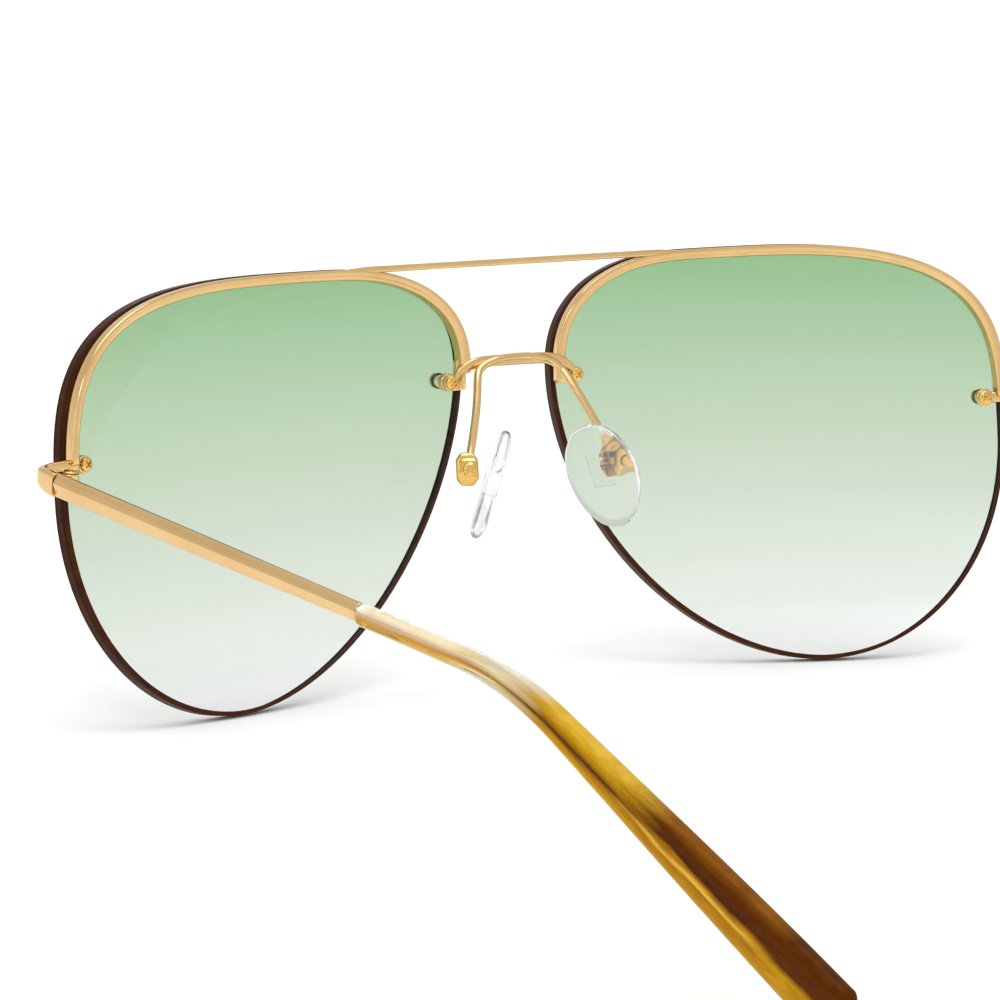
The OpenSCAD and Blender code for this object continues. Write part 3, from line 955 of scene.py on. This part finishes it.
def make_end_piece(name, side):
    """Eyelet under the temporal screw, and a strap that bends round into the temple's line."""
    eyelet = moved(TEMPORAL_MOUNT, disc(WASHER_T, WASHER_T + TAB_T, TAB_R, 0.12))
    y = WASHER_T + TAB_T / 2
    strap = apply(TEMPORAL_MOUNT, [(0.2, y, 0), (1.4, y, 0), (STRAP_LEN, y, 0)])
    joint = apply(HINGE_FRAME, [(BAR_C, -0.6, 0), (BAR_C, -JOINT_GAP, 0)])
    elbow = [bezier(strap[2], *ELBOW, joint[0], t) for t in np.linspace(0, 1, 31)]
    path = [strap[0], strap[1], *elbow, joint[1]]
    up_start, up_end = TEMPORAL_MOUNT[:3, 2], HINGE_FRAME[:3, 2]
    rings = []
    for i, p in enumerate(path):
        t = i / (len(path) - 1)
        f = path[min(i + 1, len(path) - 1)] - path[max(i - 1, 0)]
        up = up_start * (1 - t) + up_end * t
        out = np.cross(f, up)
        out /= np.linalg.norm(out)
        up = np.cross(out, f)
        up /= np.linalg.norm(up)
        thick = ease(TAB_T, TEMPLE_T, t, 0.2, 0.6)
        tall = ease(STRAP_H, TEMPLE_H, t, 0.35, 0.95)
        rings.append([p + out * d + up * h for d, h in rounded_rect(thick, tall, 0.42 * thick)])
    obj = place(f"{name}_end_piece", joined(eyelet, loft(rounded_ends(rings, 0.12))), side)
    return piece(obj, "front", [f"end_piece_{name}"], GOLD)


# ---------- nose pads ----------

def make_pad_box(name, side):
    """Small open box, with rounded edges, a slot for the lug and a bore for the screw."""
    x, y, z = (s / 2 for s in BOX_SIZE)
    bx, by, bz = BOX_BEVEL
    corners = grid((-x, x), (-y, y), (bz - z, z - bz)) + grid((bx - x, x - bx), (by - y, y - by), (-z, z))
    shape = hull(apply(BOX_FRAME @ shift(BOX_SHIFT, 0, 0), corners), 0.35, 4)
    obj = place(f"{name}_pad_box", shape, side)
    slot = moved(BOX_FRAME, box(-3, 1, -SLOT_W / 2, SLOT_W / 2, -2.5, 1))
    cut(obj, side, slot, moved(BOX_FRAME, disc(-3, 3, PAD_SCREW_R + FIT, 0.02)))
    smooth_by_angle(obj, 30)
    return piece(obj, "front", [f"pad_box_{name}"], BRIGHT)


def make_pad_screw(name, side):
    """Cross-head screw through the box, which the pad rocks on."""
    y = BOX_SIZE[1] / 2 + SEAM
    head = place(f"{name}_pad_screw", moved(BOX_FRAME, domed_head(y, PAD_HEAD_T, PAD_HEAD_R)), side)
    cut(head, side, *cross_cutters(BOX_FRAME, y + PAD_HEAD_T, 0.65))
    add_mesh(head, place("shank", moved(BOX_FRAME, disc(-1.2, y + OVERLAP, PAD_SCREW_R)), side))
    smooth_by_angle(head)
    return piece(head, "front", [f"pad_screw_{name}"], BRIGHT)


def make_pad_insert(name, side):
    """Clear lug, and the plate that the soft pad is moulded round."""
    t = LUG_T / 2
    eye = circle_points(BOX_FRAME, -t, t, LUG_R)
    stem = apply(BOX_FRAME, grid(LUG_END, (-t, t), (-LUG_R, LUG_R)))
    lug = hull(np.concatenate([eye, stem]), 0.1)
    plate = hull(apply(PAD_FRAME, grid(PLATE_X, PLATE_Y, PLATE_Z)), 0.15)
    obj = place(f"{name}_pad_insert", joined(lug, plate), side)
    return piece(obj, f"nose_pad_{name}", [f"pad_insert_{name}"], INSERT)


def make_nose_pad(name, side):
    """Soft pad: a drop-shaped cushion with round edges, moulded round the insert."""
    rings = []
    for k in range(-90, 91, 9):
        a = math.radians(k)
        x = PAD_T / 2 * math.sin(a)
        scale = abs(math.cos(a)) ** 0.3 if abs(k) < 90 else 0.4
        row = []
        for j in range(64):
            b = 2 * math.pi * j / 64
            y = PAD_W / 2 * math.cos(b) * (1 + 0.06 * math.sin(b))
            row.append((x, scale * y, scale * PAD_LEN / 2 * math.sin(b)))
        rings.append(row)
    obj = place(f"{name}_nose_pad", moved(PAD_FRAME, loft(rings)), side, 80)
    return piece(obj, f"nose_pad_{name}", [f"nose_pad_{name}"], SILICONE)


# ---------- hinges ----------

def knuckle(z0, z1, y0, y1):
    """Hinge leaf: a barrel round the pin and the block that joins it to the bar beside it."""
    n = 40
    barrel = [(KNUCKLE_R * math.cos(2 * math.pi * k / n), KNUCKLE_R * math.sin(2 * math.pi * k / n), z)
              for k in range(n) for z in (z0, z1)]
    block = [(x, y, z) for x in (0, BAR_X + 0.1) for y in (y0, y1) for z in (z0, z1)]
    return joined(hull(barrel, 0.07), hull(block, 0.07))


def make_hinge(name, side):
    """Two leaves on the end piece, one on the temple, and the screw that is their pin."""
    z0, z1 = KNUCKLE_H / 2 + KNUCKLE_GAP, KNUCKLE_H * 1.5 + KNUCKLE_GAP
    leaves = joined(knuckle(z0, z1, -KNUCKLE_R, -JOINT_GAP), knuckle(-z1, -z0, -KNUCKLE_R, -JOINT_GAP))
    piece(place(f"{name}_hinge_front", moved(HINGE_FRAME, leaves), side), "front",
          [f"hinge_front_{name}"], GOLD)
    leaf = knuckle(-KNUCKLE_H / 2, KNUCKLE_H / 2, 0, LEAF_LEN)
    piece(place(f"{name}_hinge_temple", moved(HINGE_FRAME, leaf), side), f"temple_{name}",
          [f"hinge_temple_{name}"], GOLD)
    upright = HINGE_FRAME @ turn("X", 90)
    screw = place(f"{name}_hinge_screw", moved(upright, domed_head(z1 + SEAM, PIN_HEAD_T, PIN_HEAD_R)), side)
    cut(screw, side, moved(HINGE_FRAME, box(-0.9, 0.9, -0.12, 0.12, z1 + 0.15, z1 + 1)))
    pin = disc(-z1, z1 + SEAM + OVERLAP, PIN_R)
    add_mesh(screw, place("pin", moved(upright, pin), side))
    smooth_by_angle(screw)
    return piece(screw, "front", [f"hinge_screw_{name}"], BRIGHT)


# ---------- temples ----------

def bar_section(h):
    """Temple bar: flat inside, a soft ridge along its outer face."""
    corners = [(BAR_X, -h / 2), (BAR_C + 0.1, -h / 2), (BAR_X + TEMPLE_T, 0.1 * h),
               (BAR_C + 0.1, h / 2), (BAR_X, h / 2)]
    section = []
    for i, corner in enumerate(corners):
        p = np.array(corner)
        before = np.array(corners[i - 1]) - p
        after = np.array(corners[(i + 1) % 5]) - p
        size = (0.2, 0.3, 0.12, 0.6, 0.25)[i]
        a = p + before / np.linalg.norm(before) * size
        b = p + after / np.linalg.norm(after) * size
        for t in (0, 0.25, 0.5, 0.75, 1):
            section.append((1 - t) ** 2 * a + 2 * t * (1 - t) * p + t * t * b)
    return section


def path_ring(section, length):
    """The (sideways, up) section set square on the temple's line."""
    back, up, bend = temple_path(length)
    c, s = math.cos(math.radians(bend)), math.sin(math.radians(bend))
    return [(x, back + h * s, up + h * c) for x, h in section]


def oval_section(half_t, half_h, sides=48):
    """Squarish oval of the acetate tip and its core."""
    section = []
    for k in range(sides):
        a = 2 * math.pi * (k + 0.5) / sides
        c, s = math.cos(a), math.sin(a)
        section.append((BAR_C + half_t * math.copysign(abs(c) ** 0.7, c),
                        half_h * math.copysign(abs(s) ** 0.7, s)))
    return section


def make_temple(name, side):
    """Ridged metal bar, with a thin core wire that runs on inside the tip."""
    bar = [path_ring(bar_section(TEMPLE_H - BAR_TAPER * l / METAL_LEN), l)
           for l in np.linspace(0.02, METAL_LEN, 30)]
    core = []
    for l in np.linspace(METAL_LEN - 0.5, CORE_END, 40):
        point = ease(1, 0.25, l, CORE_END - CORE_POINT, CORE_END)
        half_h = ease(CORE_HALF_H, CORE_END_HALF_H, l, METAL_LEN, CORE_END)
        oval = oval_section(CORE_HALF_T * point, half_h * point, 24)
        core.append(path_ring([(x, h - CORE_DROP) for x, h in oval], l))
    shape = moved(HINGE_FRAME, joined(loft(rounded_ends(bar, 0.12)), loft(core)))
    return piece(place(f"{name}_temple", shape, side), f"temple_{name}",
                 [f"temple_{name}"], GOLD)


def tip_half_height(length):
    return ease(TIP_START_H / 2, TIP_H / 2, length, TIP_FROM, TEMPLE_LEN + 2)


def tip_coordinates(points, lengths):
    """How far along the tip, 0 to 1, and how high on it, -1 to 1, each point lies."""
    table = [temple_path(l) for l in lengths]
    backs = np.array([t[0] for t in table])
    along, across = [], []
    for p in points:
        i = int(np.abs(backs - p[1]).argmin())
        bend = math.radians(table[i][2])
        dy, dz = p[1] - table[i][0], p[2] - table[i][1]
        length = lengths[i] + dy * math.cos(bend) - dz * math.sin(bend)
        along.append((length - METAL_LEN) / (TEMPLE_LEN - METAL_LEN))
        across.append((dy * math.sin(bend) + dz * math.cos(bend)) / tip_half_height(lengths[i]))
    return along, across


def make_tip(name, side):
    """Acetate tip, whose material needs the tip's own coordinates as attributes."""
    lengths = list(np.linspace(METAL_LEN + SEAM, TEMPLE_LEN, 70))
    rings = []
    for l in lengths:
        half_t = ease(TIP_START_T / 2, TIP_T / 2, l, TIP_FROM, TIP_THICK_AT)
        rings.append(path_ring(oval_section(half_t, tip_half_height(l)), l))
    rings = rounded_ends(rings, TIP_ROUND, 8)
    obj = place(f"{name}_temple_tip", moved(HINGE_FRAME, loft(rings)), side, 60)
    points = apply(np.linalg.inv(STAND), np.array([v.co for v in obj.data.vertices]) / MM)
    points[:, 0] *= side
    along, across = tip_coordinates(apply(np.linalg.inv(HINGE_FRAME), points), lengths)
    for label, values in (("along", along), ("across", across)):
        obj.data.attributes.new(label, "FLOAT", "POINT").data.foreach_set("value", values)
    return piece(obj, f"temple_{name}", [f"temple_tip_{name}"], ACETATE)


# ---------- stage, light and camera ----------

def make_stage():
    """Large round white floor."""
    sides, radius = 96, 6
    verts = [(radius * math.cos(2 * math.pi * k / sides), radius * math.sin(2 * math.pi * k / sides), 0)
             for k in range(sides)]
    mesh = bpy.data.meshes.new("floor")
    mesh.from_pydata(verts, [], [tuple(range(sides))])
    mesh.materials.append(matt("paper", (0.93, 0.93, 0.93)))
    floor = bpy.data.objects.new("floor", mesh)
    bpy.context.scene.collection.objects.link(floor)


def add_light(name, position, target, size, power):
    """Rectangular area light, aimed at a point."""
    data = bpy.data.lights.new(name, "AREA")
    data.shape = "RECTANGLE"
    data.size, data.size_y = size
    data.energy = power
    obj = bpy.data.objects.new(name, data)
    look = (np.array(target) - np.array(position)).tolist()
    obj.rotation_euler = Vector(look).to_track_quat("-Z", "Y").to_euler()
    obj.location = position
    bpy.context.scene.collection.objects.link(obj)


def make_lights():
    """Soft even room, a softbox above, one behind the camera and a strip at the left."""
    world = bpy.data.worlds.new("studio")
    world.use_nodes = True
    nodes, links = world.node_tree.nodes, world.node_tree.links
    greys = ((0, 0.95), (0.3, 0.85), (0.5, 0.76), (0.8, 0.85))
    sky = ramp(nodes, links, height_of(nodes, links, "Generated"), [(z, (grey,) * 3) for z, grey in greys])
    links.new(sky, nodes["Background"].inputs["Color"])
    nodes["Background"].inputs["Strength"].default_value = 1
    bpy.context.scene.world = world
    add_light("overhead", (0.0, -0.1, 1.4), (0, 0, 0), (1, 1), 9)
    add_light("rear_softbox", (0.75, 1.15, 1.1), (0, 0, 0), (0.5, 0.3), 3)
    add_light("left_strip", (1.0, 0.5, 0.6), (0, 0, 0.02), (0.15, 0.9), 1.2)


def make_camera():
    """Long lens behind the wearer's left side, tied to the front's own frame."""
    yaw, pitch, roll = (math.radians(a) for a in (VIEW_YAW, VIEW_PITCH, VIEW_ROLL))
    look = np.array([-math.sin(yaw) * math.cos(pitch), -math.cos(yaw) * math.cos(pitch), -math.sin(pitch)])
    level = np.cross(look, (0, 0, 1))
    level /= np.linalg.norm(level)
    upright = np.cross(level, look)
    right = math.cos(roll) * level + math.sin(roll) * upright
    up = math.cos(roll) * upright - math.sin(roll) * level
    position = np.array(VIEW_AIM) - VIEW_DISTANCE * look
    matrix = np.eye(4)
    matrix[:3, :3] = STAND[:3, :3] @ np.column_stack([right, up, -look])
    matrix[:3, 3] = apply(STAND, position) * MM
    data = bpy.data.cameras.new("camera")
    data.lens = VIEW_LENS
    data.sensor_width = 36
    data.clip_start = 0.01
    data.clip_end = 20
    camera = bpy.data.objects.new("camera", data)
    bpy.context.scene.collection.objects.link(camera)
    camera.matrix_world = Matrix(matrix.tolist())
    bpy.context.scene.camera = camera
    bpy.context.scene.view_settings.view_transform = "Standard"


make_camera()
make_stage()
make_lights()
for side_name, side_sign in SIDES.items():
    make_lens(side_name, side_sign)
    make_lens_screws(side_name, side_sign)
    make_lens_nuts(side_name, side_sign)
    make_bushings(side_name, side_sign)
    make_rim(side_name, side_sign)
    make_nasal_tab(side_name, side_sign)
    make_end_piece(side_name, side_sign)
    make_pad_box(side_name, side_sign)
    make_pad_screw(side_name, side_sign)
    make_pad_insert(side_name, side_sign)
    make_nose_pad(side_name, side_sign)
    make_hinge(side_name, side_sign)
    make_temple(side_name, side_sign)
    make_tip(side_name, side_sign)
make_brow_bar()
make_bridge()
make_pad_wire()
